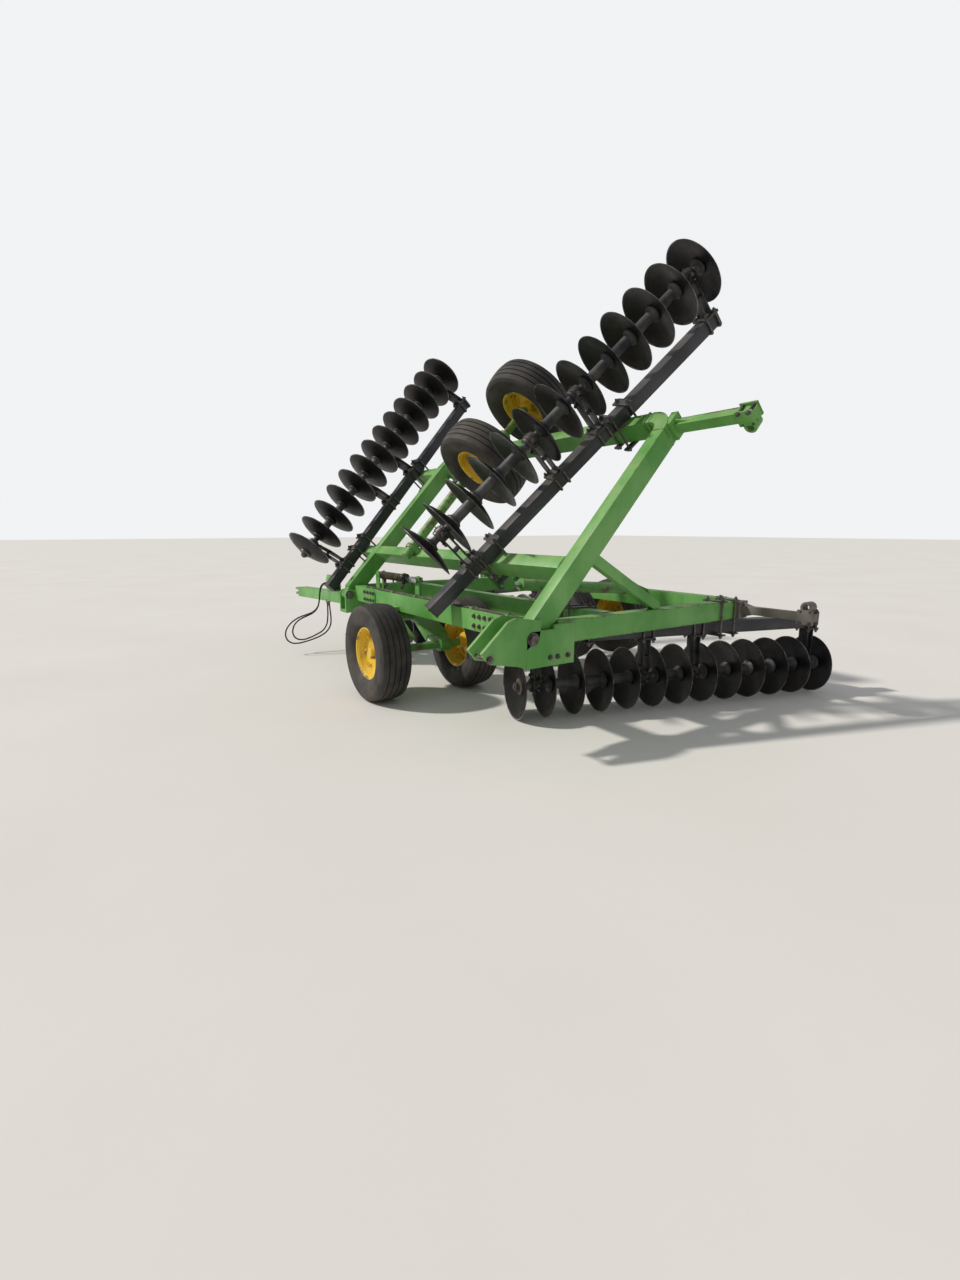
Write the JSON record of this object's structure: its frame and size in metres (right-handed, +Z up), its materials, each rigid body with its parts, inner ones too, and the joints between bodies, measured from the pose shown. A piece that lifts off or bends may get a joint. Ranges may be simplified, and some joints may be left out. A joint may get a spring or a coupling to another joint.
{
  "type": "folded disc harrow",
  "caption": "Trailed tandem disc harrow on wheels, one half folded up over the other on its strut, with disc gangs, lift axles and a drawbar.",
  "frame": {"origin": "on the ground under the middle of the folded machine's outline", "axes": "+Z up, +Y forward along the drawbar, +X to the machine's right"},
  "size_m": [3.605, 5.6549, 3.3731],
  "materials": {
    "frame_paint": "worn green paint",
    "beam_paint": "worn black paint",
    "grey_paint": "faded grey paint",
    "disc_steel": "dark soil worn steel",
    "spool_iron": "rough cast iron",
    "tyre_rubber": "dusty black rubber",
    "rim_paint": "yellow paint",
    "cylinder_paint": "black paint",
    "rod_chrome": "chromed rod"
  },
  "bodies": {
    "chassis": {"center_beam": "frame_paint", "rear_hinge": "frame_paint", "front_hinge": "frame_paint", "tongue": "frame_paint", "valve_block": "frame_paint", "wing_rest": "frame_paint", "right_rear_arm": "frame_paint", "right_outer_tube": "frame_paint", "right_front_arm": "frame_paint", "right_front_stubs": "frame_paint", "right_inner_tube": "frame_paint", "right_rear_extension": "grey_paint", "right_rear_gang_beam": "beam_paint", "right_front_gang_beam": "beam_paint", "right_rear_standards": "beam_paint", "right_front_standards": "beam_paint"},
    "left_wing": {"left_rear_arm": "frame_paint", "left_outer_tube": "frame_paint", "left_front_arm": "frame_paint", "left_front_stubs": "frame_paint", "left_inner_tube": "frame_paint", "left_rear_extension": "grey_paint", "left_rear_gang_beam": "beam_paint", "left_front_gang_beam": "beam_paint", "left_rear_standards": "beam_paint", "left_front_standards": "beam_paint"},
    "left_rear_gang": {"left_rear_discs": "disc_steel", "left_rear_axle": "spool_iron"},
    "left_front_gang": {"left_front_discs": "disc_steel", "left_front_axle": "spool_iron"},
    "right_rear_gang": {"right_rear_discs": "disc_steel", "right_rear_axle": "spool_iron"},
    "right_front_gang": {"right_front_discs": "disc_steel", "right_front_axle": "spool_iron"},
    "center_axle": {"center_rockshaft": "frame_paint"},
    "center_left_wheel": {"center_left_tyre": "tyre_rubber", "center_left_rim": "rim_paint"},
    "center_right_wheel": {"center_right_tyre": "tyre_rubber", "center_right_rim": "rim_paint"},
    "center_lift_barrel": {"center_lift_barrel": "cylinder_paint"},
    "center_lift_rod": {"center_lift_rod": "rod_chrome"},
    "right_axle": {"right_rockshaft": "frame_paint"},
    "right_inner_wheel": {"right_inner_tyre": "tyre_rubber", "right_inner_rim": "rim_paint"},
    "right_outer_wheel": {"right_outer_tyre": "tyre_rubber", "right_outer_rim": "rim_paint"},
    "right_lift_barrel": {"right_lift_barrel": "cylinder_paint"},
    "right_lift_rod": {"right_lift_rod": "rod_chrome"},
    "left_axle": {"left_rockshaft": "frame_paint"},
    "left_inner_wheel": {"left_inner_tyre": "tyre_rubber", "left_inner_rim": "rim_paint"},
    "left_outer_wheel": {"left_outer_tyre": "tyre_rubber", "left_outer_rim": "rim_paint"},
    "left_lift_barrel": {"left_lift_barrel": "cylinder_paint"},
    "left_lift_rod": {"left_lift_rod": "rod_chrome"},
    "fold_barrel": {"fold_barrel": "frame_paint"},
    "fold_rod": {"fold_rod": "rod_chrome"}
  },
  "joints": [
    {"name": "left_wing_fold", "type": "hinge", "parent": "chassis", "child": "left_wing", "pos_m": [-1.3575, -1.3775, 0.728], "axis": [0, 1, 0], "range_deg": [-132.25, 0]},
    {"name": "left_rear_gang_turn", "type": "hinge", "parent": "left_wing", "child": "left_rear_gang", "pos_m": [-1.51338, -1.2745, 1.27623], "axis": [0.6443, -0.2857, 0.7094], "continuous": true},
    {"name": "left_front_gang_turn", "type": "hinge", "parent": "left_wing", "child": "left_front_gang", "pos_m": [-1.62836, 1.2105, 1.14965], "axis": [0.6674, 0.1219, 0.7347], "continuous": true},
    {"name": "right_rear_gang_turn", "type": "hinge", "parent": "chassis", "child": "right_rear_gang", "pos_m": [-0.9855, -1.6735, 0.244], "axis": [0.9583, -0.2857, 0], "continuous": true},
    {"name": "right_front_gang_turn", "type": "hinge", "parent": "chassis", "child": "right_front_gang", "pos_m": [-1.0075, 1.2105, 0.244], "axis": [0.9925, 0.1219, 0], "continuous": true},
    {"name": "center_lift", "type": "hinge", "parent": "chassis", "child": "center_axle", "pos_m": [-1.2475, -0.2275, 0.618], "axis": [1, 0, 0], "range_deg": [-15, 38]},
    {"name": "center_left_wheel_turn", "type": "hinge", "parent": "center_axle", "child": "center_left_wheel", "pos_m": [-1.6675, -0.6275, 0.4], "axis": [1, 0, 0], "continuous": true},
    {"name": "center_right_wheel_turn", "type": "hinge", "parent": "center_axle", "child": "center_right_wheel", "pos_m": [-0.8275, -0.6275, 0.4], "axis": [1, 0, 0], "continuous": true},
    {"name": "center_lift_tilt", "type": "hinge", "parent": "chassis", "child": "center_lift_barrel", "pos_m": [-1.0655, 0.5825, 0.93], "axis": [1, 0, 0], "range_deg": [-1.13, 2.41]},
    {"name": "center_lift_slide", "type": "slide", "parent": "center_lift_barrel", "child": "center_lift_rod", "axis": [0, -1, 0], "range_m": [-0.0798, 0.1991]},
    {"name": "right_lift", "type": "hinge", "parent": "chassis", "child": "right_axle", "pos_m": [0.6925, -0.1175, 0.618], "axis": [1, 0, 0], "range_deg": [-15, 38]},
    {"name": "right_inner_wheel_turn", "type": "hinge", "parent": "right_axle", "child": "right_inner_wheel", "pos_m": [0.4025, -0.5775, 0.475], "axis": [1, 0, 0], "continuous": true},
    {"name": "right_outer_wheel_turn", "type": "hinge", "parent": "right_axle", "child": "right_outer_wheel", "pos_m": [1.1525, -0.5775, 0.475], "axis": [1, 0, 0], "continuous": true},
    {"name": "right_lift_tilt", "type": "hinge", "parent": "chassis", "child": "right_lift_barrel", "pos_m": [0.6925, 0.6725, 0.87], "axis": [1, 0, 0], "range_deg": [-1.62, 3.65]},
    {"name": "right_lift_slide", "type": "slide", "parent": "right_lift_barrel", "child": "right_lift_rod", "axis": [0, -0.9961, 0.0883], "range_m": [-0.081, 0.2021]},
    {"name": "left_lift", "type": "hinge", "parent": "left_wing", "child": "left_axle", "pos_m": [-0.29254, -0.1175, 2.06403], "axis": [-0.6724, 0, -0.7402], "range_deg": [-15, 38]},
    {"name": "left_inner_wheel_turn", "type": "hinge", "parent": "left_axle", "child": "left_inner_wheel", "pos_m": [-0.57657, -0.5775, 1.96402], "axis": [0.6724, 0, 0.7402], "continuous": true},
    {"name": "left_outer_wheel_turn", "type": "hinge", "parent": "left_axle", "child": "left_outer_wheel", "pos_m": [-0.09246, -0.5775, 2.49698], "axis": [0.6724, 0, 0.7402], "continuous": true},
    {"name": "left_lift_tilt", "type": "hinge", "parent": "left_wing", "child": "left_lift_barrel", "pos_m": [-0.106, 0.6725, 1.8946], "axis": [-0.6724, 0, -0.7402], "range_deg": [-1.62, 3.65]},
    {"name": "left_lift_slide", "type": "slide", "parent": "left_lift_barrel", "child": "left_lift_rod", "axis": [0.0653, -0.9961, -0.0593], "range_m": [-0.081, 0.2021]},
    {"name": "fold_cylinder_tilt", "type": "hinge", "parent": "chassis", "child": "fold_barrel", "pos_m": [0.7025, -1.1775, 0.835], "axis": [0, 1, 0], "range_deg": [-0.95, 0.2]},
    {"name": "fold_cylinder_slide", "type": "slide", "parent": "fold_barrel", "child": "fold_rod", "axis": [-0.9968, 0, 0.0797], "range_m": [-0.002, 1.1484]}
  ],
  "couplings": [
    {"joint": "center_lift_tilt", "follows": "center_lift", "ratio": 0.05549},
    {"joint": "center_lift_slide", "follows": "center_lift", "m_per_rad": 0.29723},
    {"joint": "right_lift_tilt", "follows": "right_lift", "ratio": 0.08819},
    {"joint": "right_lift_slide", "follows": "right_lift", "m_per_rad": 0.30175},
    {"joint": "left_lift_tilt", "follows": "left_lift", "ratio": 0.08819},
    {"joint": "left_lift_slide", "follows": "left_lift", "m_per_rad": 0.30175},
    {"joint": "fold_cylinder_tilt", "follows": "left_wing_fold", "ratio": 0.005672},
    {"joint": "fold_cylinder_slide", "follows": "left_wing_fold", "m_per_rad": -0.49666}
  ]
}
